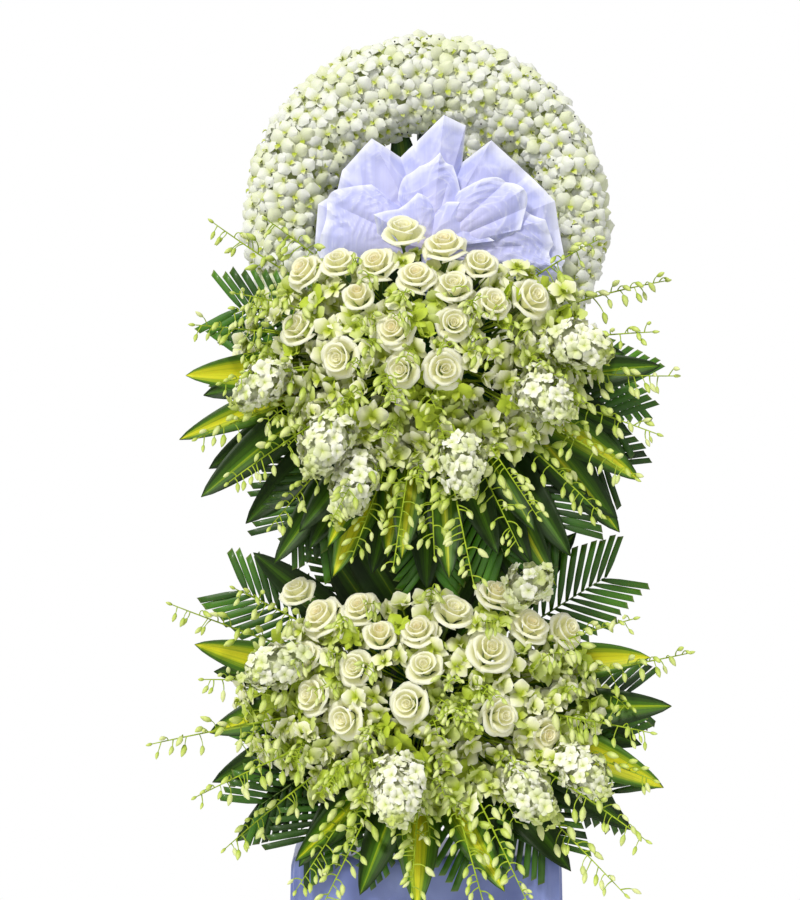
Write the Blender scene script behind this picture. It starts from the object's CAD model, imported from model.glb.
# Funeral flower stand: an orchid ring with a gathered bow over two tiers of roses, orchid sprays, striped leaves
# and palm fronds, on a wrapped plinth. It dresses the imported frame; metres, X right, Y to the back, Z up.

import random
from math import copysign, cos, exp, floor, pi, radians, sin, sqrt

import bpy
from mathutils import Matrix, Vector, noise


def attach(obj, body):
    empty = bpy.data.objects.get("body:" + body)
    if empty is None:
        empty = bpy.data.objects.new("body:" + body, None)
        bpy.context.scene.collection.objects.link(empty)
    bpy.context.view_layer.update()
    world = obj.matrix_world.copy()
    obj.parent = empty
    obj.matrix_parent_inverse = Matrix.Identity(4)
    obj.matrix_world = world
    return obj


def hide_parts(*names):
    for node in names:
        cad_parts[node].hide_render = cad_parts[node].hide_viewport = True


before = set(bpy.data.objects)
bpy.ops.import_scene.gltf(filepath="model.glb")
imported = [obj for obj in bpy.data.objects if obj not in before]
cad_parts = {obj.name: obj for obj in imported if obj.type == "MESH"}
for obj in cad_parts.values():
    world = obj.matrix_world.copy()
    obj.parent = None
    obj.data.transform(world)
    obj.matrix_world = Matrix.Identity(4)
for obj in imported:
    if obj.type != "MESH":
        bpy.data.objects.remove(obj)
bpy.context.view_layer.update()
up = Vector((0, 0, 1))
tierCentre = {"upper": Vector((0.0, -0.165, 1.160)), "lower": Vector((0.0, -0.125, 0.550))}
foamSize = Vector((0.230, 0.110, 0.160))
patterns = []       # the models that are copied, removed at the end

view = {"place": (-0.047, -6.0, 0.99), "lens": 147.5, "sensor": 36, "sun": 2.3, "sunTurn": (50, 0, -26),
        "sunSpread": 12, "sunColour": (1.0, 0.98, 0.93), "sky": 0.64}

bpy.ops.object.camera_add(location=view["place"], rotation=(pi / 2, 0, 0))
camera = bpy.context.object
camera.name = "photoCamera"
camera.data.lens = view["lens"]
camera.data.sensor_fit = "HORIZONTAL"
camera.data.sensor_width = view["sensor"]
bpy.context.scene.camera = camera

bpy.ops.object.light_add(type="SUN", location=(-2, -4, 5), rotation=[radians(a) for a in view["sunTurn"]])
sun = bpy.context.object
sun.data.energy = view["sun"]
sun.data.angle = radians(view["sunSpread"])
sun.data.color = view["sunColour"]
bpy.context.scene.view_settings.view_transform = "Standard"
print("camera and light made")


def srgb(code):
    parts = [int(code[i:i + 2], 16) / 255 for i in (1, 3, 5)]
    return (*[c / 12.92 if c <= 0.04045 else ((c + 0.055) / 1.055) ** 2.4 for c in parts], 1.0)


def addNode(tree, kind, settings, out=0):
    # a setting is a property, a socket's value, another node's output or a ramp's stops; it gives back one output
    made = tree.nodes.new(kind)
    for key, value in settings.items():
        if key == "stops":
            marks = made.color_ramp.elements
            while len(marks) < len(value):
                marks.new(0.5)
            for mark, (at, colour) in zip(marks, value):
                mark.position = at
                mark.color = srgb(colour) if isinstance(colour, str) else (colour, colour, colour, 1.0)
        elif isinstance(key, str) and key not in made.inputs:
            setattr(made, key, value)
        elif isinstance(value, bpy.types.NodeSocket):
            tree.links.new(value, made.inputs[key])
        else:
            made.inputs[key].default_value = value
    return made.outputs[out]


def newMaterial(name, settings):
    made = bpy.data.materials.new(name)
    made.use_nodes = True
    shader = made.node_tree.nodes["Principled BSDF"]
    for key, value in settings.items():
        shader.inputs[key].default_value = value
    return made, made.node_tree, shader


def coated(tree, shader, colour, height, strength, distance):
    # the colour and the fine relief of a material
    tree.links.new(colour, shader.inputs["Base Color"])
    relief = addNode(tree, "ShaderNodeBump", {"Strength": strength, "Distance": distance, "Height": height})
    tree.links.new(relief, shader.inputs["Normal"])


def surfacePlace(tree):
    # the piece's own UV, how far along it a point is, and its tint
    uv = addNode(tree, "ShaderNodeUVMap", {"uv_map": "lie"})
    along = addNode(tree, "ShaderNodeSeparateXYZ", {0: uv}, "Y")
    return uv, along, addNode(tree, "ShaderNodeAttribute", {"attribute_name": "tint"}, "Fac")


def streaks(tree, place, scale, detail):
    # noise drawn out along a surface: veins, ribs and threads
    stretched = addNode(tree, "ShaderNodeMapping", {"Vector": place, "Scale": scale})
    return addNode(tree, "ShaderNodeTexNoise", {"Vector": stretched, "Scale": 1.0, "Detail": detail})


def ramp(tree, factor, stops):
    return addNode(tree, "ShaderNodeValToRGB", {"Fac": factor, "stops": stops})


def reckoned(tree, operation, *values):
    return addNode(tree, "ShaderNodeMath", {"operation": operation, **dict(enumerate(values))})


def towards(tree, factor, ground, code):
    return addNode(tree, "ShaderNodeMixRGB", {"Fac": factor, "Color1": ground, "Color2": srgb(code)})


def lined(tree, ground, lines, left, clear=0.62):
    # darker lines over a ground colour: left is the share of its light that they keep
    shade = ramp(tree, lines, [(0.35, left), (clear, 1.0)])
    return addNode(tree, "ShaderNodeMixRGB", {"blend_type": "MULTIPLY", "Fac": 1.0, "Color1": ground, "Color2": shade})


def selectOnly(*objects):
    bpy.ops.object.select_all(action="DESELECT")
    for o in objects:
        o.select_set(True)
    bpy.context.view_layer.objects.active = objects[0]


def readied(shape):
    # one UV layer and a tint, the same on every mesh so that they join
    while shape.uv_layers:
        shape.uv_layers.remove(shape.uv_layers[0])
    shape.uv_layers.new(name="lie")
    shape.attributes.new("tint", "FLOAT", "POINT")
    return shape.uv_layers["lie"]


def tinted(shape, tints):
    # one tint for the whole mesh, or a list with one for each point
    tints = tints if isinstance(tints, list) else [tints] * len(shape.vertices)
    shape.attributes["tint"].data.foreach_set("value", tints)


def shapedBy(name, lay, finish, along="y"):
    # each point's place on the new primitive becomes its UV, across and along; then lay moves it
    piece = bpy.context.object
    piece.name = name
    piece.data.materials.append(finish)
    layer = readied(piece.data)
    for loop in piece.data.loops:
        co = piece.data.vertices[loop.vertex_index].co
        layer.data[loop.index].uv = ((co.x + 1) / 2, (getattr(co, along) + 1) / 2)
    for v in piece.data.vertices:
        v.co = lay(*v.co)
    return piece


def newGrid(name, across, along, lay, finish):
    bpy.ops.object.select_all(action="DESELECT")
    bpy.ops.mesh.primitive_grid_add(x_subdivisions=across, y_subdivisions=along, size=2)
    return shapedBy(name, lay, finish)


def newBall(name, segments, rings, lay, finish, along="y"):
    bpy.ops.object.select_all(action="DESELECT")
    bpy.ops.mesh.primitive_uv_sphere_add(segments=segments, ring_count=rings, radius=1)
    return shapedBy(name, lay, finish, along)


def applied(piece, kind, **settings):
    selectOnly(piece)
    made = piece.modifiers.new(kind.lower(), kind)
    for key, value in settings.items():
        setattr(made, key, value)
    bpy.ops.object.modifier_apply(modifier=made.name)
    return piece


def copyOf(model, place, tint=None):
    # a copy with its own mesh; without a tint it keeps the model's
    shape = model.data.copy()
    shape.transform(place)
    if tint is not None:
        tinted(shape, tint)
    made = bpy.data.objects.new(model.name, shape)
    bpy.context.collection.objects.link(made)
    return made


def joined(name, parts):
    selectOnly(*parts)
    if len(parts) > 1:
        bpy.ops.object.join()
    parts[0].name = name
    parts[0].data.name = name
    bpy.ops.object.shade_smooth()
    return parts[0]


def kept(piece, slot, *nodes):
    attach(piece, "root")
    if nodes:
        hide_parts(*nodes)
    print(piece.name, sum(len(p.vertices) - 2 for p in piece.data.polygons), "triangles")
    return piece


def facing(origin, forward, upward=up, spin=0.0, size=1.0):
    # a frame whose Z looks forward and whose Y is as near upward as it can be
    forward = forward.normalized()
    if abs(forward.dot(upward.normalized())) > 0.999:
        upward = Vector((0, -1, 0.01))
    across = upward.cross(forward).normalized()
    over = forward.cross(across)
    turned = Matrix((across, over, forward)).transposed().to_4x4()
    return Matrix.Translation(origin) @ turned @ Matrix.Rotation(spin, 4, "Z") @ Matrix.Scale(size, 4)


def tubes(name, lines, finish, sides=1):
    # lines are lists of (point, radius); all become one mesh
    curve = bpy.data.curves.new(name, "CURVE")
    curve.dimensions = "3D"
    curve.bevel_depth = 1.0
    curve.bevel_resolution = sides
    curve.use_fill_caps = True
    for line in lines:
        spline = curve.splines.new("POLY")
        spline.points.add(len(line) - 1)
        for point, (place, radius) in zip(spline.points, line):
            point.co = (*place, 1.0)
            point.radius = radius
    made = bpy.data.objects.new(name, curve)
    bpy.context.collection.objects.link(made)
    selectOnly(made)
    bpy.ops.object.convert(target="MESH")
    made = bpy.context.object
    made.data.materials.clear()
    made.data.materials.append(finish)
    readied(made.data)
    return made


def strayed(draw, across, y, upward):
    # a direction drawn at random between limits across and upward
    return Vector((draw.uniform(*across), y, draw.uniform(*upward)))


def spoke(angle):
    # a direction in the upright plane that faces the viewer
    return Vector((cos(angle), 0, sin(angle)))


# the paths of stems, leaves and fronds, the same as the solids follow: how far forward each layer of them starts on
# the foam, and its lean; from the back, layers 0 and 1 hold fronds, 2 and 3 leaves, and 4 to 6 sprays
stemLayers = [(-0.044, 0.02), (-0.026, 0.06), (-0.008, 0.13), (0.008, 0.21), (0.022, 0.34), (0.034, 0.47),
              (0.046, 0.62)]
hangLean = {"upper": 0.34, "lower": 0.54}
curl = 0.22


def acrossFront(direction):
    normal = Vector((0, -1, 0))
    normal = (normal - direction * normal.dot(direction)).normalized()
    return direction.cross(normal), normal


def port(tier, azimuth, layer=1):
    front, lean = stemLayers[layer]
    a = radians(azimuth)
    reach = min(foamSize.x / 2 / max(abs(cos(a)), 1e-6), foamSize.z / 2 / max(abs(sin(a)), 1e-6))
    lean += hangLean[tier] * max(0.0, -sin(a))
    start = tierCentre[tier] + Vector((reach * cos(a), -front, reach * sin(a)))
    return start, Vector((cos(a), -lean, sin(a))).normalized(), lean


def stemPath(start, azimuth, length, droop, lean, steps):
    toGround = (-90 - azimuth + 180) % 360 - 180
    turn = copysign(min(abs(droop), abs(toGround)), toGround) * (1 if droop >= 0 else -1)
    point, frames = start.copy(), []
    stride = length / steps
    for i in range(steps + 1):
        share = i / steps
        a = radians(azimuth + turn * share ** 1.5)
        slope = lean - 2 * curl * share * length
        heading = Vector((cos(a), -slope, sin(a))).normalized()
        frames.append((point.copy(), heading, *acrossFront(heading)))
        middle = radians(azimuth + turn * ((i + 0.5) / steps) ** 1.5)
        point += Vector((cos(middle), -slope, sin(middle))) * stride
    return frames


def petalMaterial(name, stops, tintColour, vein, glow, more={}):
    # living petal: soft waxy skin with fine veins from root to rim, light passing a little way in
    made, tree, shader = newMaterial(name, {"Roughness": 0.5, "IOR": 1.42, "Subsurface Weight": 0.15,
                                            "Subsurface Scale": 0.004, "Subsurface Radius": glow,
                                            "Sheen Weight": 0.08, **more})
    uv, along, tint = surfacePlace(tree)
    toned = towards(tree, tint, ramp(tree, along, stops), tintColour)
    lines = streaks(tree, uv, (26, 1.6, 1), 2.0)
    coated(tree, shader, lined(tree, toned, lines, 1.0 - vein), lines, 0.25, 0.0006)
    return made


orchidWhite = petalMaterial("orchidPetal", [(0.0, "#9fb310"), (0.25, "#c4d350"), (0.52, "#e4e8ac"), (1.0, "#f4f4dc")],
                            "#b8cc38", 0.07, (0.9, 1.0, 0.5))
ringWhite = petalMaterial("ringOrchidPetal", [(0.0, "#c0ca62"), (0.2, "#d8dcb8"), (0.45, "#dfe2d6"), (1.0, "#e4e6de")],
                          "#d6dcac", 0.06, (0.9, 1.0, 0.7),
                          {"Emission Color": srgb("#f0f2e0"), "Emission Strength": 0.05})
orchidLip = petalMaterial("orchidLip", [(0.0, "#9bae14"), (0.4, "#bfcc3c"), (0.8, "#dde3a0"), (1.0, "#e9ecd0")],
                          "#a9ba2a", 0.08, (0.9, 1.0, 0.5))
roseCream = petalMaterial("rosePetal", [(0.0, "#c2cb72"), (0.35, "#dcdca4"), (0.72, "#e6e5c4"), (1.0, "#ececd8")],
                          "#ead8a4", 0.02, (1.0, 1.0, 0.6),
                          {"Roughness": 0.6, "Sheen Weight": 0.15, "Subsurface Weight": 0.3,
                           "Emission Color": srgb("#fbf8c4"), "Emission Strength": 0.13})
floretWhite = petalMaterial("floretPetal", [(0.0, "#bccb58"), (0.3, "#e8ebc6"), (1.0, "#fbfbf0")], "#c6d46a", 0.03,
                            (0.9, 1.0, 0.6))
budGreen = petalMaterial("orchidBud", [(0.0, "#94ad2c"), (0.3, "#b4c94c"), (0.75, "#d2e07a"), (1.0, "#bccf52")],
                         "#ecefb8", 0.10, (0.8, 1.0, 0.3), {"Roughness": 0.46})


def skinMaterial(name, dark, light, roughness, ior, grain=60.0):
    # smooth plant skin or plain stock, a little uneven in colour
    made, tree, shader = newMaterial(name, {"Roughness": roughness, "IOR": ior})
    place = addNode(tree, "ShaderNodeTexCoord", {}, "Object")
    spots = addNode(tree, "ShaderNodeTexNoise", {"Scale": grain, "Detail": 3.0, "Vector": place})
    coated(tree, shader, ramp(tree, spots, [(0.3, dark), (0.7, light)]), spots, 0.15, 0.0005)
    return made


stemGreen = skinMaterial("orchidStem", "#86a01a", "#b2c832", 0.48, 1.40)
ringBed = skinMaterial("ringBed", "#8f9c50", "#b6c07e", 0.6, 1.40)
headCore = skinMaterial("floretBed", "#d2d9a8", "#eef0d8", 0.6, 1.40)
ribGreen = skinMaterial("palmRib", "#4d6b26", "#83994c", 0.5, 1.45)
pinBlack = skinMaterial("pinHead", "#15161a", "#2b2c30", 0.25, 1.5)


def leafMaterial(name, edge, middle, streak, darkest):
    # broad leaf: waxy cuticle, green margins, a striped yellow middle and fine parallel veins
    made, tree, shader = newMaterial(name, {"Roughness": 0.48, "IOR": 1.40, "Subsurface Weight": 0.08,
                                            "Subsurface Scale": 0.003})
    uv, _, tint = surfacePlace(tree)
    across = addNode(tree, "ShaderNodeSeparateXYZ", {0: uv}, "X")
    bands = streaks(tree, uv, (13, 0.6, 1), 4.0)
    # how far out from the middle, made uneven; tint 0 is a yellow-striped leaf and tint 1 a plain green one
    off = reckoned(tree, "ABSOLUTE", reckoned(tree, "SUBTRACT", across, 0.5))
    field = reckoned(tree, "MULTIPLY_ADD", bands, 0.50, off)
    field = reckoned(tree, "MULTIPLY_ADD", tint, 0.42, field)
    field = reckoned(tree, "SUBTRACT", field, 0.40)
    ground = ramp(tree, field, [(0.02, middle), (0.14, streak), (0.24, edge), (0.5, darkest)])
    lines = streaks(tree, uv, (70, 1.0, 1), 1.0)
    coated(tree, shader, lined(tree, ground, lines, 0.80, 0.6), lines, 0.35, 0.0008)
    return made


stripedLeaf = leafMaterial("stripedLeaf", "#4f7c0c", "#dcdc20", "#9eb412", "#1d3804")
ringLeaf = leafMaterial("ringLeaf", "#2a5808", "#6f8a0e", "#446e0c", "#102c04")


def frondMaterial():
    # palm leaflet: satin green, ribbed along its length, paler where it was cut
    made, tree, shader = newMaterial("palmLeaflet", {"Roughness": 0.40, "IOR": 1.45, "Coat Weight": 0.08,
                                                     "Subsurface Weight": 0.06, "Subsurface Scale": 0.003})
    uv, along, tint = surfacePlace(tree)
    ground = ramp(tree, along, [(0.0, "#3c6a0e"), (0.4, "#4e9016"), (0.95, "#62a41e"), (1.0, "#a8c064")])
    toned = towards(tree, tint, ground, "#193604")
    lines = streaks(tree, uv, (14, 0.8, 1), 2.0)
    coated(tree, shader, lined(tree, toned, lines, 0.68), lines, 0.4, 0.0008)
    return made


palmGreen = frondMaterial()


def organzaMaterial():
    # stiff sheer organza: lilac white, fine threads, and paler where a crease doubles it
    made, tree, shader = newMaterial("bowOrganza", {"Roughness": 0.5, "IOR": 1.45, "Sheen Weight": 0.25,
                                                    "Sheen Roughness": 0.4, "Emission Color": srgb("#c4c8ff"),
                                                    "Emission Strength": 0.05})
    _, along, tint = surfacePlace(tree)
    place = addNode(tree, "ShaderNodeTexCoord", {}, "Object")
    lines = streaks(tree, place, (330, 40, 3), 2.0)
    rim = ramp(tree, along, [(0.0, "#d6c8e2"), (0.35, "#c8c7f0"), (0.9, "#bfc3f6"), (0.96, "#dcdffc"),
                             (1.0, "#eceeff")])
    creased = towards(tree, tint, rim, "#e8eaff")
    cover = ramp(tree, along, [(0.0, 0.97), (0.6, 0.90), (0.95, 0.86), (1.0, 0.96)])
    tree.links.new(cover, shader.inputs["Alpha"])
    coated(tree, shader, lined(tree, creased, lines, 0.94, 0.65), lines, 0.2, 0.0005)
    return made


def satinMaterial():
    # lilac satin: long smooth weave, glossy, with soft creases
    made, tree, shader = newMaterial("plinthSatin", {"Roughness": 0.30, "IOR": 1.45, "Sheen Weight": 0.3,
                                                     "Specular IOR Level": 0.6})
    place = addNode(tree, "ShaderNodeTexCoord", {}, "Object")
    soft = addNode(tree, "ShaderNodeTexNoise", {"Scale": 9.0, "Detail": 3.0, "Vector": place})
    colour = ramp(tree, soft, [(0.3, "#5c6aa8"), (0.7, "#8a97d0")])
    thread = addNode(tree, "ShaderNodeTexNoise", {"Scale": 700.0, "Detail": 1.0, "Vector": place})
    coated(tree, shader, colour, reckoned(tree, "MULTIPLY_ADD", soft, 6.0, thread), 0.3, 0.0010)
    return made


organza, satin = organzaMaterial(), satinMaterial()
foamGreen = skinMaterial("floralFoam", "#1d4a26", "#2f6a38", 0.95, 1.4, 900.0)
timber = skinMaterial("plinthBoard", "#9a7a4e", "#c0a070", 0.75, 1.5, 14.0)
steelGreen = skinMaterial("paintedSteel", "#15301d", "#1f4229", 0.38, 1.5, 220.0)
print("materials made")


stays = {"plinth": timber, "post": steelGreen, "bow_wire": steelGreen, "upper_cradle": steelGreen,
         "lower_cradle": steelGreen, "upper_foam": foamGreen, "lower_foam": foamGreen, "ring_foam": foamGreen}
for nodeName, finish in stays.items():
    for slot in bpy.data.objects[nodeName].material_slots:
        slot.material = finish


def petal(name, finish, length, width, dome, cup, ruffle, root, point, across=2):
    # a thin petal from its root at 0 to its tip along Y, its face towards Z; root and point narrow its two ends
    def lay(x, y, z):
        v = (y + 1) / 2
        half = root + (1 - root) * sin(pi / 2 * min(1.0, v / 0.58))
        half *= (1 - 0.90 * max(0.0, (v - 0.5) / 0.5) ** 2.2) ** 0.5 * (1 - point * max(0.0, v - 0.6) / 0.4)
        far = length * (v - 0.07 * x * x * v)
        high = dome * sin(pi * v * 0.9) - cup * x * x * (0.4 + 0.6 * v)
        return Vector((x * half * width / 2, far, high + ruffle * sin(4.2 * x + 3.0 * v) * v))
    return newGrid(name, across, 3, lay, finish)


def turnedPetal(model, degrees, tilt, lift=0.0):
    place = Matrix.Rotation(radians(degrees), 4, "Z") @ Matrix.Translation((0, 0, lift)) @ \
        Matrix.Rotation(radians(tilt), 4, "X")
    return copyOf(model, place)


def pattern(name, parts, *used):
    # a flower that is copied later
    made = joined(name, parts)
    for one in used:
        bpy.data.objects.remove(one)
    patterns.append(made)
    return made


petals = {      # length, width, dome and cup in metres
    "petal": (0.029, 0.031, 0.0035, 0.0030), "sepal": (0.029, 0.017, 0.0015, 0.0018),
    "lip": (0.017, 0.014, 0.0050, -0.0045), "round": (0.0290, 0.0300, 0.0060, 0.0062),
    "throat": (0.0130, 0.0100, 0.004, -0.003), "ringSepal": (0.0250, 0.0160, 0.0035, 0.0030),
    "floret": (0.0130, 0.0130, 0.0022, 0.0020),
}


def makeOrchid(name, closed, ruffle):
    # closed is how far the petals stand up, in degrees
    wide = petal("widePetal", orchidWhite, *petals["petal"], ruffle, 0.34, 0.0, 4)
    narrow = petal("sepal", orchidWhite, *petals["sepal"], ruffle, 0.5, 0.45)
    lip = petal("lip", orchidLip, *petals["lip"], 0.0, 0.6, 0.2)
    parts = [turnedPetal(wide, 72, closed, 0.0016), turnedPetal(wide, -72, closed + 6, 0.0012)]
    parts += [turnedPetal(narrow, a, closed - 10, -0.0008) for a in (0, 142, -142)]
    parts += [turnedPetal(lip, 180, 40, 0.001)]
    return pattern(name, parts, wide, narrow, lip)


openOrchid = makeOrchid("openOrchid", 6, 0.0012)
cuppedOrchid = makeOrchid("cuppedOrchid", 26, 0.0018)
halfOrchid = makeOrchid("halfOrchid", 52, 0.0010)
orchids = (openOrchid, openOrchid, cuppedOrchid, halfOrchid)


def makeBlossom(name, first, second, low):
    # the ring's blossoms are pushed in close, so that two round petals bulge to the front over a green throat
    domed = petal("roundPetal", ringWhite, *petals["round"], 0.0008, 0.42, 0.0, 4)
    throat = petal("throat", orchidLip, *petals["throat"], 0.0, 0.7, 0.0)
    narrow = petal("sepal", ringWhite, *petals["ringSepal"], 0.0, 0.5, 0.3)
    parts = [turnedPetal(domed, first, 2, 0.004), turnedPetal(domed, second, 10, 0.0055)]
    parts += [turnedPetal(throat, 180, 34, 0.0045), turnedPetal(narrow, low, -4), turnedPetal(narrow, -low, 4, 0.001)]
    return pattern(name, parts, domed, throat, narrow)


blossoms = [makeBlossom("ringBlossom", 58, -62, 146), makeBlossom("ringBlossomTurned", 40, -80, 132)]


def layBud(x, y, z):
    # a bud hangs from its root at 0 along Z, fullest below its middle, with a blunt spur by its root
    v = (z + 1) / 2
    swell = 0.50 + 0.50 * sin(pi * min(1.0, v * 1.02) ** 0.9)
    spur = 0.0030 * exp(-((v - 0.14) / 0.13) ** 2) * max(0.0, x)
    return Vector((x * 0.0066 * swell + spur + 0.0050 * v * v, y * 0.0060 * swell, 0.0262 * v))


bud = pattern("orchidBud", [newBall("orchidBud", 6, 5, layBud, budGreen, "z")])


def makeFloret():
    leafy = petal("floretPetal", floretWhite, *petals["floret"], 0.0012, 0.5, 0.0)
    return pattern("floret", [turnedPetal(leafy, 72 * k, 6 + 20 * (k % 2)) for k in range(5)], leafy)


floret = makeFloret()


# roses: whorls of petals round an axis, Z towards the viewer, radius 1
roseForms = {
    # petals, radius of the rim, its height, how far it rolls out, breadth in degrees
    "openRose": [(2, 0.08, 0.42, 0.00, 240), (3, 0.17, 0.47, 0.01, 175), (3, 0.32, 0.50, 0.03, 160),
                 (3, 0.53, 0.45, 0.08, 160), (4, 0.75, 0.24, 0.14, 130), (5, 0.92, -0.08, 0.15, 98)],
    "roundRose": [(2, 0.09, 0.56, 0.00, 240), (3, 0.22, 0.61, 0.02, 172), (3, 0.42, 0.58, 0.05, 162),
                  (4, 0.65, 0.42, 0.10, 130), (4, 0.84, 0.10, 0.15, 122)],
    "closedRose": [(2, 0.12, 0.84, 0.00, 240), (2, 0.27, 0.86, 0.02, 200), (3, 0.48, 0.70, 0.07, 162),
                   (4, 0.71, 0.30, 0.15, 126)],
    "cupRose": [(2, 0.09, 0.40, 0.00, 240), (3, 0.21, 0.49, 0.01, 172), (3, 0.40, 0.58, 0.03, 160),
                (3, 0.63, 0.54, 0.08, 162), (4, 0.88, 0.14, 0.16, 124)],
}


def rosePetal(base, radius, top, flare, breadth, draw):
    bottom, phase, lean = -0.55, draw.uniform(0, 6.28), draw.uniform(-0.05, 0.05)
    top += draw.uniform(-0.04, 0.04)
    point = draw.uniform(0.02, 0.12) * radius

    def lay(x, y, z):
        v = (y + 1) / 2
        turn = base + radians(breadth) / 2 * x * (0.45 + 0.55 * v ** 0.6)
        rim = max(0.0, (v - 0.6) / 0.4)
        body = 0.30 + 0.70 * sin(pi / 2 * v) ** 0.8
        out = radius * body + 0.034 * x + flare * rim ** 2.4 * (1 - 0.4 * x * x)
        out += point * max(0.0, 1 - 2.4 * abs(x)) * rim ** 2
        out += 0.034 * sin(4.2 * x + phase) * rim * (0.3 + radius)
        high = bottom + (top + lean * x - bottom) * sin(pi / 2 * min(1.0, v * 1.06)) ** 0.9
        high -= (0.05 + 0.24 * radius) * x * x * v * v + flare * 0.5 * rim ** 2
        return Vector((out * cos(turn), out * sin(turn), high))
    return newGrid("rosePetal", 7, 7, lay, roseCream)


def makeRose(name, whorls, seed):
    draw = random.Random(seed)
    parts, golden = [], 0.2 + 0.5 * (seed % 2)
    for level, (count, radius, top, flare, breadth) in enumerate(whorls):
        for k in range(count):
            base = 2 * pi * (k + 0.37 * level) / count + draw.uniform(-0.12, 0.12)
            parts.append(rosePetal(base, radius, top, flare, breadth, draw))
            tinted(parts[-1].data, golden * (1 - level / (len(whorls) - 1)) ** 1.6)
    return applied(pattern(name, parts), "SOLIDIFY", thickness=0.009, offset=0.0)


roses = [makeRose(name, whorls, 3 + i) for i, (name, whorls) in enumerate(roseForms.items())]
print("flowers made")

rosePlaces = {      # across and up from the middle of the foam, and radius, in millimetres; the same as the solids
    "upper": [
        [(-200, 146, 33), (-146, 155, 32), (-92, 163, 34), (-116, 96, 32), (-224, 42, 34), (-150, -10, 35)],
        [(-40, 188, 36), (22, 178, 36), (-11, 132, 32), (48, 115, 32), (70, 155, 31), (-56, 38, 34)],
        [(175, 92, 38), (118, 84, 33), (45, 55, 30), (-41, -31, 31), (26, -31, 36)],
    ],
    "lower": [
        [(-182, 148, 38), (-228, 188, 32), (-115, 157, 32), (-85, 116, 33), (-214, 70, 32), (-119, 65, 31)],
        [(38, 152, 35), (-12, 121, 31), (120, 188, 32), (-7, 67, 31), (110, 89, 41), (187, 130, 34)],
        [(239, 121, 34), (-191, 8, 36), (-150, -22, 34), (-29, 4, 34), (126, -23, 36), (207, -58, 31)],
    ],
}
hubs = [(-0.085, 0.030), (0.000, 0.035), (0.085, 0.000)]
roseBalls = {"upper": [], "lower": []}      # centre and radius of each rose, which the other flowers keep clear of


def dome(u, w):
    # how far in front of the foam's middle the roses' faces stand
    return 0.192 - 1.5 * (u * u + w * w)


def settled(bunches):
    # overlapping roses push each other apart, as the solids' do
    placed = [[u / 1000, w / 1000, r / 1000, b] for b, bunch in enumerate(bunches) for u, w, r in bunch]
    for _ in range(80):
        for i, one in enumerate(placed):
            for other in placed[:i]:
                apart = Vector((one[0] - other[0], one[1] - other[1], dome(*one[:2]) - dome(*other[:2])))
                lack = 1.06 * (one[2] + other[2]) - apart.length
                if lack > 0:
                    push = Vector(apart[:2]).normalized() * lack * 0.52
                    one[0], one[1] = one[0] + push.x, one[1] + push.y
                    other[0], other[1] = other[0] - push.x, other[1] - push.y
    return placed


def makeRoses(tier):
    draw = random.Random(21)
    centre = tierCentre[tier]
    face = centre.y - foamSize.y / 2
    heads, stems = [[], [], []], [[], [], []]
    for u, w, radius, bunch in settled(rosePlaces[tier]):
        at = Vector((u, centre.y - dome(u, w), centre.z + w))
        looks = Vector((1.2 * u, -0.26, 1.2 * w + 0.04)).normalized()
        roseBalls[tier].append((at, radius))
        form = roses[draw.choice((0, 0, 0, 1, 1, 2, 3, 3))]
        looks = (looks + strayed(draw, (-0.3, 0.3), 0, (-0.1, 0.35))).normalized()
        place = facing(at, looks, spin=draw.uniform(0, 6.28), size=radius * 1.06)
        heads[bunch].append(copyOf(form, place))
        hub = Vector((hubs[bunch][0], face + 0.010, centre.z + hubs[bunch][1]))
        stems[bunch].append([(hub, 0.0028), (hub + Vector((0, -0.02, 0)), 0.0028),
                             (at - looks * radius * 0.9, 0.0028), (at - looks * radius * 0.45, 0.010)])
    for b in range(3):
        pieces = heads[b] + [tubes("roseStem", stems[b], ribGreen)]
        kept(joined(f"{tier}Roses{b + 1}", pieces), "rose_cream", f"{tier}_roses_{b + 1}")


ring = {"centre": Vector((0.0, 0.0, 1.415)), "outer": 0.325, "hole": 0.206, "holeShift": Vector((0.018, 0.0, -0.044)),
        "height": 0.070, "row": 0.0205, "spacing": 0.0285, "edge": 0.003, "pins": 110, "spill": 44}


def ringPoint(angle, share):
    # a point on the ring's rounded front: share runs from its outer edge to its hole
    turn = pi * share
    across = copysign(abs(cos(turn)) ** 0.8, cos(turn))
    direction = spoke(angle)
    inner = ring["hole"] + ring["holeShift"].dot(direction)
    radius = (ring["outer"] + inner) / 2 + (ring["outer"] - inner) / 2 * across
    forward = ring["height"] * max(0.0, sin(turn)) ** 0.8
    return ring["centre"] + direction * radius - Vector((0, forward, 0))


def ringNormal(angle, share):
    step = 0.01
    low, high = max(0.0, share - step), min(1.0, share + step)
    over = ringPoint(angle, high) - ringPoint(angle, low)
    along = ringPoint(angle + 0.01, share) - ringPoint(angle - 0.01, share)
    normal = along.cross(over).normalized()
    middle = (ringPoint(angle, 0.0) + ringPoint(angle, 1.0)) / 2
    return normal if normal.dot(ringPoint(angle, share) - middle) > 0 else -normal


pinHead = pattern("pinHead", [newBall("pinHead", 5, 4, lambda x, y, z: Vector((x, y, z)) * 0.0019, pinBlack)])


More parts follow.
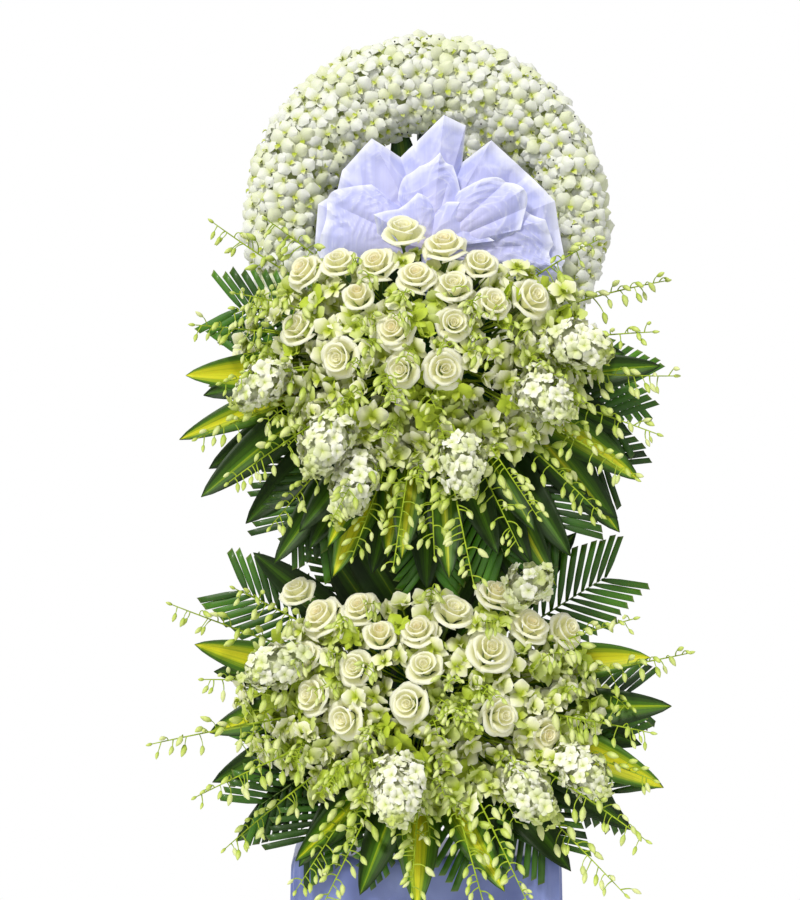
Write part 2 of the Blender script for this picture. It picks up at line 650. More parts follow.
def makeRing():
    draw = random.Random(7)

    def layBed(x, y, z):
        # the bed that the flowers are pinned into, just under them
        angle, share = pi * x, 0.03 + 0.94 * (y + 1) / 2
        return ringPoint(angle, share) + Vector((0, 0.012 * sin(pi * share), 0))
    parts = [newGrid("ringBed", 96, 12, layBed, ringBed)]
    # rows lie an even distance apart over the ring's rounded section, measured at so many samples
    samples = 200
    section = [ringPoint(0, i / samples) for i in range(samples + 1)]
    run = [0.0]
    for a, b in zip(section, section[1:]):
        run.append(run[-1] + (b - a).length)
    covered = run[-1] - 2 * ring["edge"]
    rows = round(covered / ring["row"])
    for row in range(rows + 1):
        share = next(i for i, length in enumerate(run) if length >= ring["edge"] + covered * row / rows) / samples
        radius = (ringPoint(0, share) - ring["centre"]).length
        count = round(2 * pi * radius / ring["spacing"])
        for k in range(count):
            angle = 2 * pi * (k + 0.5 * (row % 2) + draw.uniform(-0.22, 0.22)) / count
            at = min(0.985, max(0.015, share + draw.uniform(-0.020, 0.020)))
            normal = ringNormal(angle, at)
            looks = (normal + strayed(draw, (-0.5, 0.5), -0.30, (-0.5, 0.5))).normalized()
            spot = ringPoint(angle, at) - normal * draw.uniform(0.002, 0.012)
            place = facing(spot, looks, spin=draw.gauss(0, 1.0), size=draw.uniform(0.78, 1.06))
            parts.append(copyOf(draw.choice(blossoms), place, draw.choice((0.0, 0.0, 0.0, 0.15, 0.4, 0.7))))
    for k in range(ring["spill"]):
        # a few more hang over the hole's upper right edge
        angle = radians(draw.uniform(34, 86))
        direction = spoke(angle)
        spot = ringPoint(angle, 0.97) - direction * draw.uniform(0.000, 0.034)
        spot += Vector((0, draw.uniform(-0.012, 0.004), 0))
        looks = strayed(draw, (-0.5, 0.3), -1, (-0.6, 0.2))
        blossom = draw.choice(blossoms)
        place = facing(spot, looks, spin=draw.uniform(0, 6.28), size=draw.uniform(0.8, 1.0))
        parts.append(copyOf(blossom, place, draw.choice((0.0, 0.0, 0.3))))
    for k in range(ring["pins"]):
        angle, at = 2 * pi * (k + draw.random() * 0.7) / ring["pins"], draw.choice((0.2, 0.38, 0.55, 0.72, 0.85))
        looks = ringNormal(angle, at)
        parts.append(copyOf(pinHead, facing(ringPoint(angle, at) + looks * 0.0115, looks)))
    kept(joined("ringOrchids", parts), "orchid_white", "ring_orchids")


# leaves: azimuth, length and width in millimetres, droop, and tint: 0 is widely striped with yellow, 1 plain green
leafPlan = {        # the shoots that the solids have: azimuth, layer and leaves
    "upper": [
        (197, 3, [(177, 300, 62, 8, 0.0), (197, 330, 50, 8, 0.25), (216, 345, 60, 6, 0.8)]),
        (245, 2, [(231, 290, 56, 0, 0.95), (248, 325, 60, 0, 0.15), (264, 270, 52, 0, 0.3)]),
        (284, 3, [(273, 305, 60, 0, 0.55), (291, 280, 56, 0, 0.95)]),
        (334, 2, [(312, 335, 66, 4, 0.6), (331, 300, 60, 10, 0.3), (10, 290, 58, 6, 0.8)]),
    ],
    "lower": [
        (176, 3, [(161, 300, 60, 6, 0.15), (192, 270, 62, 8, 0.4)]),
        (92, 2, [(60, 300, 70, 0, 0.8), (89, 290, 70, 0, 0.95), (122, 310, 70, 0, 1.0)]),
        (262, 3, [(219, 285, 58, 4, 0.5), (246, 265, 58, 2, 0.8), (269, 265, 66, 0, 0.25),
                  (302, 275, 56, 0, 0.3)]),
        (343, 2, [(322, 250, 58, 4, 0.6), (341, 320, 64, 8, 0.05), (7, 310, 64, 6, 0.7)]),
    ],
}
leafFill = {        # more leaves behind and between, each with its own layer after the tint where that isn't 1
    "upper": [
        (188, 300, 60, 8, 1.0), (206, 320, 62, 6, 0.95), (222, 330, 64, 4, 1.0), (239, 320, 60, 0, 0.9),
        (256, 330, 64, 0, 1.0, 0), (270, 350, 66, 0, 0.95, 0), (282, 330, 60, 0, 1.0, 0), (296, 340, 62, 0, 0.9),
        (306, 350, 64, 2, 1.0), (321, 330, 66, 6, 0.95), (341, 280, 60, 8, 1.0), (2, 250, 56, 6, 0.9),
        (263, 290, 54, 0, 0.35, 3), (301, 280, 50, 0, 0.75, 3), (234, 370, 58, 0, 0.85), (243, 300, 56, 0, 0.3, 3),
        (292, 390, 60, 0, 0.8, 0), (299, 390, 56, 0, 0.55),
    ],
    "lower": [
        (172, 280, 58, 6, 1.0), (200, 300, 60, 6, 0.95), (216, 300, 62, 4, 1.0, 0), (232, 280, 60, 2, 0.95),
        (263, 230, 60, 0, 1.0, 0), (293, 240, 60, 0, 1.0), (311, 300, 62, 3, 1.0), (329, 310, 62, 6, 0.95),
        (349, 290, 60, 6, 1.0), (14, 300, 62, 14, 0.05, 2), (60, 260, 56, 0, 1.0), (84, 230, 56, 0, 0.95, 0),
        (104, 240, 56, 0, 1.0), (124, 270, 56, 0, 0.9), (72, 270, 60, 0, 0.75, 0), (96, 280, 60, 0, 1.0, 0),
        (116, 290, 60, 0, 0.9, 0), (140, 290, 56, 2, 1.0), (54, 250, 52, -4, 0.45, 2), (47, 300, 56, 0, 0.9, 0),
    ],
}


def leafAlong(frames, width, fold, tint, draw, finish=stripedLeaf):
    rows, phase = len(frames) - 1, draw.uniform(0, 6.28)
    wave = draw.uniform(0.0015, 0.0040)

    def lay(x, y, z):
        row = round((y + 1) / 2 * rows)
        point, _, side, normal = frames[row]
        share = row / rows
        swell = sin(pi * (0.03 + 0.97 * share) ** 0.95) ** 0.72 if share < 1 else 0.0
        half = max(0.0040 * (1 - share) + 0.0004, width * 1.22 * swell / 2)
        raised = fold * half * (abs(x) - 0.5) + wave * abs(x) * sin(9 * share + phase + 1.4 * x)
        return point + side * half * x + normal * raised
    one = applied(newGrid("leaf", 8, rows, lay, finish), "SOLIDIFY", thickness=0.0011, offset=0.0)
    tinted(one.data, tint)
    return one


def makeLeaves(tier):
    draw = random.Random(31)
    for number, (azimuth, layer, leaves) in enumerate(leafPlan[tier], start=1):
        start, heading, lean = port(tier, azimuth, layer)
        tip, parts = start + heading * 0.010, []
        for i, (toward, length, width, droop, tint) in enumerate(leaves):
            own = lean + 0.05 * (i - (len(leaves) - 1) / 2)
            frames = stemPath(tip, toward, length / 1000, droop, own, 20)
            parts.append(leafAlong(frames, width / 1000, 0.30, tint, draw))
        parts.append(tubes("leafShoot", [[(start - heading * 0.014, 0.0045), (start + heading * 0.016, 0.0040)]],
                           ribGreen))
        kept(joined(f"{tier}Leaves{number}", parts), "leaf_striped", f"{tier}_leaves_{number}")
    parts = []
    for azimuth, length, width, droop, tint, *layer in leafFill[tier]:
        start, heading, lean = port(tier, azimuth, *layer)
        frames = stemPath(start - heading * 0.012, azimuth, length / 1000, droop, lean + 0.03, 18)
        parts.append(leafAlong(frames, width / 1000, 0.30, tint, draw))
    kept(joined(f"{tier}BackLeaves", parts), "leaf_striped")


ringLeaves = {"turns": (46, 60, 72, 82, 91, 99, 108, 119, 132), "tints": (0.7, 0.2, 0.5, 0.1, 0.6, 0.3, 0.8, 0.2, 0.6),
              "width": 0.068, "foot": Vector((0, 0.0153, -0.214)), "past": 0.066}      # past: how far behind the ring


def makeRingLeaves():
    draw = random.Random(5)
    foot = ring["centre"] + ring["holeShift"] + ringLeaves["foot"]
    parts = []
    for i, (toward, tint) in enumerate(zip(ringLeaves["turns"], ringLeaves["tints"])):
        a = radians(toward)
        length = 2 * (ring["hole"] - 0.012) * sin(a) + ringLeaves["past"]
        heading = spoke(a)
        frames = []
        for k in range(21):
            share = k / 20
            point = foot + heading * (0.006 + length * share)
            point.y += (-0.006, 0.000, 0.006)[i % 3] * min(1.0, 2.5 * share)
            frames.append((point, heading, *acrossFront(heading)))
        parts.append(leafAlong(frames, ringLeaves["width"], 0.12, tint, draw, ringLeaf))
    parts.append(tubes("ringShoot", [[(foot - up * 0.014, 0.0042), (foot + up * 0.014, 0.0040)]], ribGreen))
    kept(joined("ringLeaves", parts), "leaf_striped", "ring_backing_leaves")


palmPlan = {        # azimuth, length in millimetres, then droop and layer where they aren't 0
    "upper": [
        (165, 350, 8), (-8, 365, 4), (-31, 365, 2), (226, 350), (258, 280, 0, 1), (301, 310),
    ],
    "lower": [
        (150, 375, 6), (34, 370, 6, 1), (0, 365, 2), (-27, 365, 4), (213, 320, 0, 1), (246, 300), (287, 290, 0, 1),
        (94, 400),
    ],
}
palm = {"step": 0.0082, "reach": 0.100, "width": 0.0120, "rib": 0.0026, "stalk": 0.040, "trim": 0.66}


def layLeaflet(x, y, z):
    # a leaflet of length 1 along Y, folded along its middle, its end trimmed square
    v = (y + 1) / 2
    half = 0.5 * (0.40 + 0.60 * min(1.0, v / 0.3)) * (1 - 0.08 * v * v)
    return Vector((half * x, v * (1 + 0.03 * x), 0.16 * abs(x) - 0.08))


leaflet = pattern("palmLeaflet", [newGrid("palmLeaflet", 2, 5, layLeaflet, palmGreen)])


def makePalm(tier, number, azimuth, length, droop=0, layer=0):
    draw = random.Random(100 + number)
    length /= 1000
    start, heading, lean = port(tier, azimuth, layer)
    steps = round(length / palm["step"])
    path = stemPath(start, azimuth, length, droop, lean, steps)
    parts, tint = [], draw.uniform(0.0, 0.5)
    first = next(i for i, f in enumerate(path) if (f[0] - start).length > palm["stalk"])
    steps = round(steps * palm["trim"])     # the frond's end is cut off
    path = path[:steps + 1]
    for i in range(first, steps + 1):
        point, along, side, normal = path[i]
        share = (i - first) / (steps - first)
        reach = palm["reach"] * (0.62 + 0.38 * sin(pi * (0.12 + 0.70 * share))) * draw.uniform(0.94, 1.05)
        spread = radians(64 - 26 * share)
        sign = 1 if i % 2 else -1
        toward = (side * sign * sin(spread) + along * cos(spread) - normal * 0.10).normalized()
        flatSide = toward.cross(normal).normalized()
        place = Matrix((flatSide, toward, flatSide.cross(toward))).transposed().to_4x4()
        scale = Matrix.Diagonal((palm["width"] * draw.uniform(0.85, 1.15), reach, palm["width"], 1))
        at = point + normal * draw.uniform(-0.0015, 0.0015)
        parts.append(copyOf(leaflet, Matrix.Translation(at) @ place @ scale, min(1.0, tint + draw.uniform(0, 0.5))))
    blades = joined("blades", parts)
    applied(blades, "SOLIDIFY", thickness=0.0007, offset=0.0)
    line = [(start - heading * 0.014, palm["rib"])]
    line += [(f[0], palm["rib"] * (1 - 0.7 * i / steps)) for i, f in enumerate(path)]
    rib = tubes("palmRib", [line], ribGreen)
    return joined(f"{tier}Palm{number}", [blades, rib])


palmFill = {        # more fronds at the back
    "upper": [
        (240, 420), (271, 440), (180, 330, 8), (291, 440, 0, 1), (308, 420, 2, 1), (232, 430, 2, 1), (-18, 350, 4, 1),
    ],
    "lower": [
        (64, 330), (119, 380, 2), (302, 300), (258, 290), (-50, 350, 4), (230, 350, 2), (-14, 340, 4, 1),
        (196, 300, 6, 1),
    ],
}


def makePalms(tier):
    for number, frond in enumerate(palmPlan[tier], start=1):
        kept(makePalm(tier, number, *frond), "palm_green", f"{tier}_palm_{number}")
    more = [makePalm(tier, 20 + n, *frond) for n, frond in enumerate(palmFill[tier])]
    kept(joined(f"{tier}BackPalms", more), "palm_green")


sprayPlan = {       # azimuth, length in millimetres, droop, and layer where it isn't 4
    "upper": [
        (150, 320, -6, 2), (199, 310, 6, 5), (227, 305, 4), (261, 300, 0, 5), (281, 330, 0, 6), (318, 300, 4),
        (352, 320, -8, 5), (20, 330, 10, 2),
    ],
    "lower": [
        (160, 365, -2), (187, 375, 4, 5), (214, 300, 6), (242, 320, 0, 5), (265, 240, 0, 6), (286, 285, 0, 5),
        (317, 360, 2), (9, 360, -4),
    ],
}
sprayFill = {       # more sprays between them
    "upper": [
        (172, 300, 4), (186, 250, 10, 6), (212, 280, 6, 6), (240, 250, 2, 6), (250, 300, 0), (272, 280, 0),
        (295, 290, 0, 5), (304, 250, 2, 6), (330, 290, 6, 6), (341, 310, 2), (6, 280, 4, 6), (36, 230, 10),
        (138, 250, 8), (160, 230, 12, 6),
    ],
    "lower": [
        (172, 280, 6, 6), (200, 310, 4, 6), (234, 300, 2), (298, 290, 2, 6), (330, 310, 4, 6), (342, 300, 2, 5),
        (354, 280, 4, 6), (24, 270, 8, 5), (148, 260, 6, 5),
    ],
}
spray = {"steps": 26, "stem": 0.0019, "bare": 0.12, "flowers": 8, "buds": 17, "stalk": 0.022}


def clearOfRoses(tier, point, reach):
    return all((point - at).length > radius + reach for at, radius in roseBalls[tier])


def hungBud(draw, point, along, away, size, stalk):
    # a bud that nods on a curved stalk; it gives back the stalk's line and the bud
    hang = Vector((0, 0, -1)) * draw.uniform(0.3, 1.0) + away * draw.uniform(0.2, 0.8) + along * draw.uniform(0.0, 0.9)
    hang.normalize()
    bend = point + away * stalk * 0.65 + along * stalk * draw.uniform(-0.1, 0.5)
    root = bend + (away * 0.25 + hang).normalized() * stalk * 0.45
    line = []
    for j in range(5):
        t = j / 4
        line.append((point * (1 - t) ** 2 + bend * 2 * t * (1 - t) + root * t * t, 0.0013 - 0.0001 * j))
    place = facing(root - hang * 0.0005, hang, away, draw.uniform(0, 6.28), size)
    return line, copyOf(bud, place, draw.choice((0.0, 0.0, 0.15, 0.35, 0.6)))


def makeSpray(tier, number, seed, azimuth, length, droop, layer=4):
    draw = random.Random(seed)
    start, heading, lean = port(tier, azimuth, layer)
    path = stemPath(start, azimuth, length / 1000 * 0.97, droop, lean, spray["steps"])
    lines = [[(start - heading * 0.012, spray["stem"] * 1.4)]]
    lines[0] += [(f[0], spray["stem"] * (1.3 - 0.8 * i / spray["steps"])) for i, f in enumerate(path)]
    parts = []
    total = spray["flowers"] + spray["buds"]
    turnOver = draw.uniform(0, 3)
    for k in range(total):
        share = spray["bare"] + (0.985 - spray["bare"]) * (k + draw.uniform(0.1, 0.9)) / total
        step = min(spray["steps"] - 1, int(share * spray["steps"]))
        point, along, side, normal = path[step]
        point = point.lerp(path[step + 1][0], share * spray["steps"] - step)
        sign = draw.choice((-1, 1, 1 if k % 2 else -1))
        roll = 0.9 * sin(1.7 * k + turnOver)
        away = (side * sign + normal * (0.55 + 0.35 * roll)).normalized()
        if k < spray["flowers"]:
            stalk = spray["stalk"] * draw.uniform(0.8, 1.5)
            head = point + away * stalk + along * 0.006
            if not clearOfRoses(tier, head, 0.006):
                head = point + away * stalk * 0.4
                if not clearOfRoses(tier, head, 0.004):
                    continue
            looks = away * 0.7 + normal * 0.8 + strayed(draw, (-0.3, 0.3), -0.2, (-0.4, 0.2))
            model = draw.choice(orchids)
            place = facing(head, looks, spin=draw.uniform(-0.7, 0.7), size=draw.uniform(0.78, 1.05))
            parts.append(copyOf(model, place, draw.choice((0.0, 0.0, 0.3, 0.6))))
            middle = (point + head) / 2 + along * 0.004
            lines.append([(point, 0.0011), (middle, 0.0010), (head - looks.normalized() * 0.003, 0.0013)])
        else:
            late = (k - spray["flowers"]) / spray["buds"]
            size = (1.15 - 0.50 * late) * draw.uniform(0.75, 1.15)
            stalk = spray["stalk"] * (1.15 - 0.6 * late) * draw.uniform(0.5, 1.4)
            line, one = hungBud(draw, point, along, away, size, stalk)
            lines.append(line)
            parts.append(one)
    tip = path[-1]
    parts.append(copyOf(bud, facing(tip[0], tip[1], up, 0.0, 0.55), 0.0))
    parts.append(tubes("sprayStem", lines, stemGreen, 0))
    return joined(f"{tier}Spray{number}", parts)


def makeSprays(tier):
    for number, plan in enumerate(sprayPlan[tier], start=1):
        kept(makeSpray(tier, number, 200 + number, *plan), "bud_green", f"{tier}_spray_{number}")
    more = [makeSpray(tier, 40 + n, 300 + n, *plan) for n, plan in enumerate(sprayFill[tier])]
    half = len(more) // 2
    kept(joined(f"{tier}MoreSpraysA", more[:half]), "bud_green")
    kept(joined(f"{tier}MoreSpraysB", more[half:]), "bud_green")


# dense heads of florets, in millimetres: root across and up on the foam, then across, up, in front, length and radius
headPlan = {
    "upper": [
        (30, -50, 268, 10, 165, 110, 30), (-45, -50, -175, -165, 190, 110, 30),
    ],
    "lower": [
        (-30, -55, -50, -150, 235, 130, 34), (30, -60, 275, -125, 165, 100, 28),
    ],
}
headFill = {
    "upper": [
        (-20, -50, -130, -235, 165, 120, 26), (30, -50, 205, -80, 185, 110, 28), (20, -50, 60, -200, 215, 110, 26),
        (-30, -20, -290, -60, 145, 100, 26),
    ],
    "lower": [
        (20, -50, 178, -158, 200, 105, 25), (-20, 20, -270, 60, 145, 110, 27), (20, -50, 180, 205, 140, 80, 24),
    ],
}


floretHead = {"florets": 15500, "goldenTurn": 2.39996,    # florets for each square metre of length times radius
              "core": ((-0.48, 0.2), (-0.36, 0.78), (0, 0.86), (0.36, 0.50), (0.48, 0.1))}


def makeHead(tier, number, *plan):
    draw = random.Random(60 + number)
    rootX, rootZ, across, upward, front, length, radius = [v / 1000 for v in plan]
    centre = tierCentre[tier]
    at = centre + Vector((across, -front, upward))
    root = Vector((rootX, centre.y - foamSize.y / 2, centre.z + rootZ))
    along = (at - root).normalized()
    hang = (along + Vector((0, 0, -0.5))).normalized()
    frameHere = facing(at, hang)
    parts = []
    count = round(length * radius * floretHead["florets"])
    for k in range(count):
        z = 1 - 2 * (k + 0.5) / count
        ringRadius, turn = sqrt(1 - z * z), floretHead["goldenTurn"] * k
        unit = Vector((ringRadius * cos(turn), ringRadius * sin(turn), z))
        thin = radius * (0.94 - 0.30 * z)
        spot = frameHere @ Vector((unit.x * thin, unit.y * thin, unit.z * length / 2))
        looks = (spot - frameHere @ Vector((0, 0, unit.z * length / 2 * 0.7))).normalized()
        late = max(0.0, z - 0.5)
        size = draw.uniform(1.05, 1.45) * (1 - 0.6 * late)
        looks += Vector([draw.uniform(-0.5, 0.5) for _ in range(3)])
        place = facing(spot + looks * draw.uniform(-0.004, 0.012), looks, spin=draw.uniform(0, 6.28), size=size)
        parts.append(copyOf(floret, place, min(1.0, late * 1.4 + draw.choice((0.0, 0.1, 0.4)))))
    bend = at - hang * length * 0.5
    parts.append(tubes("headStem", [[(root + along * -0.014, 0.0024), (bend, 0.0028), (at, 0.0026)]], stemGreen))
    core = [(at + hang * length * k, radius * r) for k, r in floretHead["core"]]
    parts.append(tubes("headCore", [core], headCore, 2))
    return joined(f"{tier}FloretHead{number}", parts)


mass = {"flowers": 200, "spacing": 0.0235, "half": (0.325, 0.185), "shift": (-0.01, -0.005), "tries": 12000,
        "sprigs": 46, "sprigBuds": 9}


def makeMass(tier):
    # open orchids on short stems fill the places between the roses, with small sprigs of buds over them
    draw = random.Random(91)
    centre = tierCentre[tier]
    face = centre.y - foamSize.y / 2
    spots, parts, lines, sprigs = [], [], [], []
    for _ in range(mass["tries"]):
        if len(spots) >= mass["flowers"]:
            break
        u, w = draw.uniform(-1, 1), draw.uniform(-1, 1)
        if u * u + w * w > 1:
            continue
        u, w = mass["shift"][0] + u * mass["half"][0], mass["shift"][1] + w * mass["half"][1]
        if tier == "upper" and w > 0.182 - 0.2 * abs(u):
            continue
        at = Vector((u, centre.y - dome(u, w) * 0.95 + draw.uniform(-0.012, 0.028), centre.z + w))
        if any((at - s).length < mass["spacing"] for s in spots) or not clearOfRoses(tier, at, 0.002):
            continue
        spots.append(at)
        looks = Vector((1.6 * u + draw.uniform(-0.3, 0.3), -0.32, 1.6 * w + draw.uniform(-0.25, 0.25)))
        model = draw.choice(orchids)
        parts.append(copyOf(model, facing(at, looks, spin=draw.gauss(0, 0.8), size=draw.uniform(0.80, 1.10)),
                            draw.choice((0.0, 0.0, 0.0, 0.7, 1.0))))
        foot = Vector((u * 0.32, face + 0.012, centre.z + w * 0.38))
        back = at - looks.normalized() * 0.003
        lines.append([(foot, 0.0016), (foot + (back - foot) * 0.6 + Vector((0, -0.012, 0)), 0.0015), (back, 0.0017)])
    for spot in draw.sample(spots, mass["sprigs"]):
        # a sprig rises out of the flowers, then bows outwards and down under its buds
        out = Vector((1.4 * (spot.x - centre.x), -0.20, 1.3 * (spot.z - centre.z))).normalized()
        point = spot.copy()
        heading = (out + strayed(draw, (-0.9, 0.9), -0.5, (0.0, 0.8))).normalized()
        line = [(point + Vector((0, 0.03, 0)), 0.0014)]
        for j in range(mass["sprigBuds"]):
            line.append((point.copy(), 0.0015 - 0.0001 * j))
            side, normal = acrossFront(heading)
            away = (side * (1 if j % 2 else -1) + normal * 0.4).normalized()
            if j > 1 and clearOfRoses(tier, point, -0.004):
                stalk, one = hungBud(draw, point, heading, away, draw.uniform(0.62, 0.98) * (1.1 - 0.05 * j), 0.012)
                sprigs.append(one)
                lines.append(stalk)
            point += heading * 0.0095
            heading = (heading + Vector((0, -0.02, -0.13)) + out * 0.05).normalized()
        lines.append(line)
    parts.append(tubes("flowerStem", lines, stemGreen, 0))
    kept(joined(f"{tier}OpenOrchids", parts + sprigs), "orchid_white")


def makeHeads(tier):
    for number, plan in enumerate(headPlan[tier], start=1):
        kept(makeHead(tier, number, *plan), "orchid_white", f"{tier}_floret_head_{number}")
    more = [makeHead(tier, 10 + n, *plan) for n, plan in enumerate(headFill[tier])]
    kept(joined(f"{tier}MoreHeads", more), "orchid_white")


# the gathered bow: a wide fan of organza at the back and five smaller ones in front of it, each folded to and fro
bow = {
    "centre": Vector((0.006, -0.165, 1.345)), "columns": 12, "rows": 84, "foldDepth": 0.0006, "lift": 0.034,
    "crumple": 0.006, "finer": 0.44, "rimSwell": 0.10, "panelSwell": 7,      # the last three are the small fans' own
    # fold by fold: degrees round the neck, reach of the rim and how far the rim stands forward, in millimetres
    "back": [(-13, 230, 2), (-4, 243, 12), (10, 236, -6), (22, 242, 10), (38, 226, -8), (50, 222, 4), (61, 228, 12),
             (70, 172, -14), (74, 236, -8), (84, 246, 12), (107, 178, -12), (117, 228, 12), (137, 214, -2),
             (147, 198, -10), (157, 217, 10), (178, 206, -2), (190, 187, 6)],
    # the smaller fans in front
    "left": [(186, 192, 4), (171, 196, 20), (154, 204, 6), (142, 184, 24), (131, 158, 8), (122, 96, 14)],
    "low": [(24, 184, 6), (15, 214, 20), (3, 222, 4), (-7, 236, 18), (-12, 226, 2), (-19, 150, 8)],
    "middle": [(122, 108, 8), (108, 140, 26), (97, 152, 12), (84, 176, 28), (75, 158, 10), (60, 112, 20)],
    "right": [(66, 112, 16), (53, 160, 34), (42, 182, 20), (33, 200, 36), (24, 188, 18), (13, 166, 32), (4, 112, 14)],
    "heart": [(168, 96, 24), (148, 118, 40), (128, 92, 28), (102, 104, 44), (82, 84, 26), (58, 100, 42), (30, 88, 26),
              (8, 116, 40)],
    # creases that cross the cloth: direction, distance apart and depth
    "creases": [(0.35, 0.052, 0.0040), (1.05, 0.034, 0.0028), (1.75, 0.043, 0.0032), (2.30, 0.038, 0.0028),
                (2.85, 0.066, 0.0044)],
    # its neck, from the lower end up: height from the centre and radius
    "neck": ((-0.118, 0.0058), (-0.085, 0.0080), (-0.075, 0.0085), (-0.04, 0.0125), (0.0, 0.0165), (0.016, 0.012)),
    # the fans in front: how far forward, flat size and area as cut
    "front": (("left", -0.012, (0.22, 0.20), 0.026), ("low", -0.014, (0.22, 0.22), 0.020),
              ("middle", -0.020, (0.20, 0.17), 0.0125), ("right", -0.022, (0.24, 0.19), 0.019),
              ("heart", -0.030, (0.30, 0.11), 0.015)),
}


def bowSheet(name, folds, forward, seed):
    # one fan, from the neck out to a rim that goes to and fro from fold to fold
    small = name != "bowBack"
    fine = bow["finer"] if small else 1.0
    marks = []

    def crumple(spot, share):
        # sharp creases like folded paper's: each family of lines is a zigzag, a little bent by noise
        depth, mark = 0.0, 0.0
        bent = spot + Vector((noise.noise(spot * 13), 0, noise.noise(spot * 13 + Vector((7, 3, 1))))) * 0.036
        for k, (turn, apart, deep) in enumerate(bow["creases"]):
            turn += 0.8 * seed
            phase = (bent.x * cos(turn) + bent.z * sin(turn)) / apart / fine + 0.37 * k + seed
            zigzag = abs(phase - floor(phase) - 0.5) * 2
            strong = max(0.0, 0.4 + 2.2 * noise.noise(spot * 12 / fine + Vector((k * 5, seed, 0))))
            depth += deep * fine ** 0.5 * (zigzag - 0.5) * min(1.4, strong)
            mark = max(mark, min(1.0, strong) * max(0.0, 1 - (1 - zigzag) / 0.13))
        depth += bow["crumple"] * noise.noise(spot * 20 + Vector((seed, 0, seed)))
        return depth * share, mark * share

    def lay(x, y, z):
        place = (x + 1) / 2 * (len(folds) - 1)
        fold = int(min(place, len(folds) - 1.001))
        part = place - fold
        tips = [Vector((reach * cos(radians(turn)), stand, reach * sin(radians(turn))))
                for turn, reach, stand in folds[fold:fold + 2]]
        share = 0.04 + 0.96 * (y + 1) / 2
        tip = tips[0].lerp(tips[1], part)
        if small:
            # a soft rim: its panels swell a little between the folds
            tip = tip * (1 + bow["rimSwell"] * sin(pi * part) * noise.noise(Vector((fold * 2.3, seed, 0.5))))
            tip.y += bow["panelSwell"] * sin(pi * part) * sin(pi * min(1.0, share * 1.1))
        stand = tip.y * bow["foldDepth"] * share ** 1.2
        spot = Vector((tip.x * 0.001 * share, seed * 0.1, tip.z * 0.001 * share))
        depth, mark = crumple(spot, share)
        marks.append(mark)
        return bow["centre"] + Vector((spot.x, forward + bow["lift"] * share ** 2 - stand - depth, spot.z))
    sheet = newGrid(name, (len(folds) - 1) * bow["columns"], bow["rows"], lay, organza)
    tinted(sheet.data, [(1.0 if small else 0.6) * m for m in marks])
    selectOnly(sheet)
    bpy.ops.object.shade_smooth_by_angle(angle=radians(20))
    return sheet


def makeBow():
    back = bowSheet("bowBack", bow["back"], 0.004, 4)
    neck = tubes("bowNeck", [[(bow["centre"] + up * z, r) for z, r in bow["neck"]]], organza, 3)
    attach(neck, "root")
    # each is cut as a fan
    kept(back, "bow_organza")
    for number, (part, forward, size, cut) in enumerate(bow["front"]):
        one = kept(bowSheet("bow" + part.capitalize(), bow[part], forward, 5 + number), "bow_organza")
    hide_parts("bow")


wrap = {"size": Vector((0.480, 0.290, 0.262)), "ease": 0.0019, "round": 0.026, "corner": 0.16, "inset": 0.05,
        "post": Vector((0.0, 0.060, 0.0)), "opening": 0.0175, "columns": 168, "rows": 30, "folds": 17,
        "topShare": 0.3, "rollShare": 0.12}      # of the cloth's rows on the top, and of the rest in the rounded edge


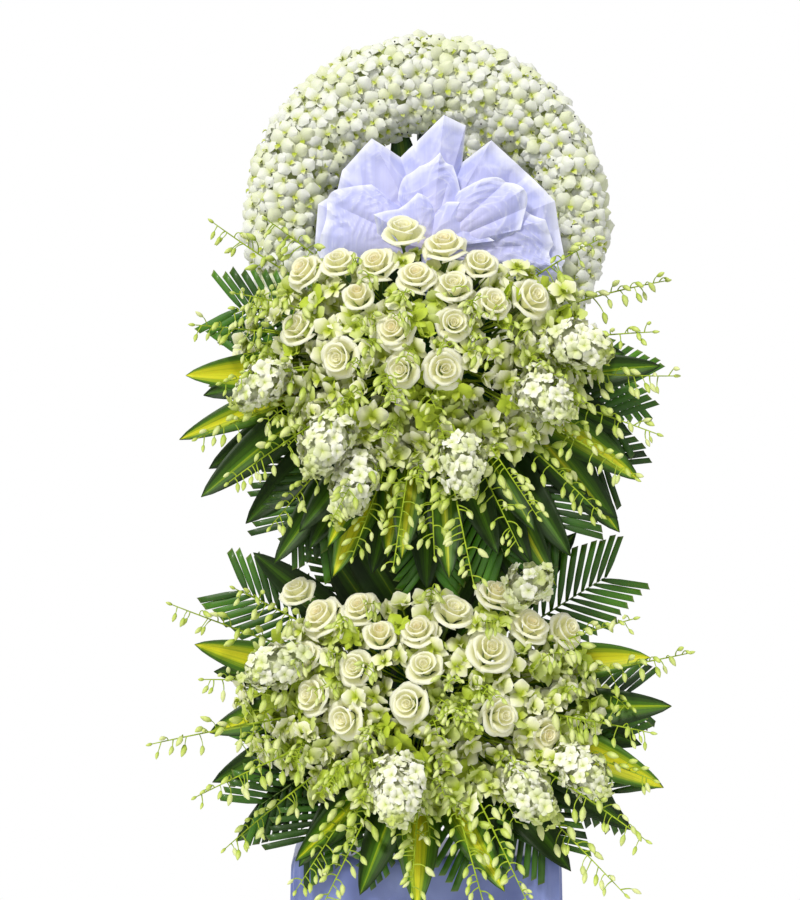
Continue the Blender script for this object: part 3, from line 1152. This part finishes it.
def makeWrap():
    half = Vector((wrap["size"].x / 2 + wrap["ease"], wrap["size"].y / 2 + wrap["ease"]))

    def rimPoint(turn, grow):
        # a rounded rectangle by its corner arcs, evenly enough for a folded cloth
        c, s = cos(turn), sin(turn)
        across, deep = copysign(abs(c) ** wrap["corner"], c), copysign(abs(s) ** wrap["corner"], s)
        return Vector((half.x * across, half.y * deep, 0)) * grow

    def lay(x, y, z):
        turn, v = pi * x, (y + 1) / 2
        top, inset = wrap["size"].z + wrap["ease"], wrap["inset"]
        if v < wrap["topShare"]:
            # from the opening round the post out to the rim
            spot = wrap["post"] + Vector((cos(turn), sin(turn), 0)) * wrap["opening"]
            spot = spot.lerp(rimPoint(turn, 1 - inset), v / wrap["topShare"])
            spot.z = top
            return spot
        k = (v - wrap["topShare"]) / (1 - wrap["topShare"])
        drop = top - 0.0012
        down = max(0.0, k - wrap["rollShare"]) / (1 - wrap["rollShare"])
        roll = min(1.0, k / wrap["rollShare"])
        spot = rimPoint(turn, 1 - inset + inset * sin(roll * pi / 2))
        spot.z = top - wrap["round"] * (1 - cos(roll * pi / 2)) - (drop - wrap["round"]) * down
        outward = Vector((spot.x / half.x, spot.y / half.y, 0)).normalized()
        uneven = noise.noise(Vector((2 * cos(turn), 2 * sin(turn), 0.4)))
        folds = 0.5 + 0.5 * sin(wrap["folds"] * turn + 2.6 * uneven)
        return spot + outward * (0.0010 + 0.0095 * folds * (0.25 + 0.75 * down))
    sheet = newGrid("plinthWrap", wrap["columns"], wrap["rows"], lay, satin)
    selectOnly(sheet)
    bpy.ops.object.mode_set(mode="EDIT")
    bpy.ops.mesh.select_all(action="SELECT")
    bpy.ops.mesh.remove_doubles(threshold=0.0004)
    bpy.ops.mesh.normals_make_consistent(inside=False)
    bpy.ops.object.mode_set(mode="OBJECT")
    bpy.ops.object.shade_smooth()
    kept(sheet, "plinth_wrap", "plinth_wrap")


def makeStage():
    bpy.ops.object.select_all(action="DESELECT")
    bpy.ops.mesh.primitive_circle_add(vertices=96, radius=1.2, fill_type="NGON", location=(0, 0, 0))
    ground = bpy.context.object
    ground.name = "paleFloor"
    ground.data.materials.append(newMaterial("paleFloor", {"Base Color": srgb("#fbfbfb"), "Roughness": 0.9})[0])
    world = bpy.data.worlds.new("studioSky")
    bpy.context.scene.world = world
    world.use_nodes = True
    tree = world.node_tree
    sky = tree.nodes["Background"]
    sky.inputs["Color"].default_value = (1, 1, 1, 1)
    ray = addNode(tree, "ShaderNodeLightPath", {}, "Is Camera Ray")
    strength = reckoned(tree, "MULTIPLY_ADD", ray, 1.0 - view["sky"], view["sky"])
    tree.links.new(strength, sky.inputs["Strength"])


makeStage()
makeRing()
makeRingLeaves()
makeBow()
makeWrap()
for tier in tierCentre:
    makeRoses(tier)
    makeLeaves(tier)
    makePalms(tier)
    makeSprays(tier)
    makeHeads(tier)
    makeMass(tier)
    print(tier, "tier made")

for used in patterns:
    bpy.data.objects.remove(used)
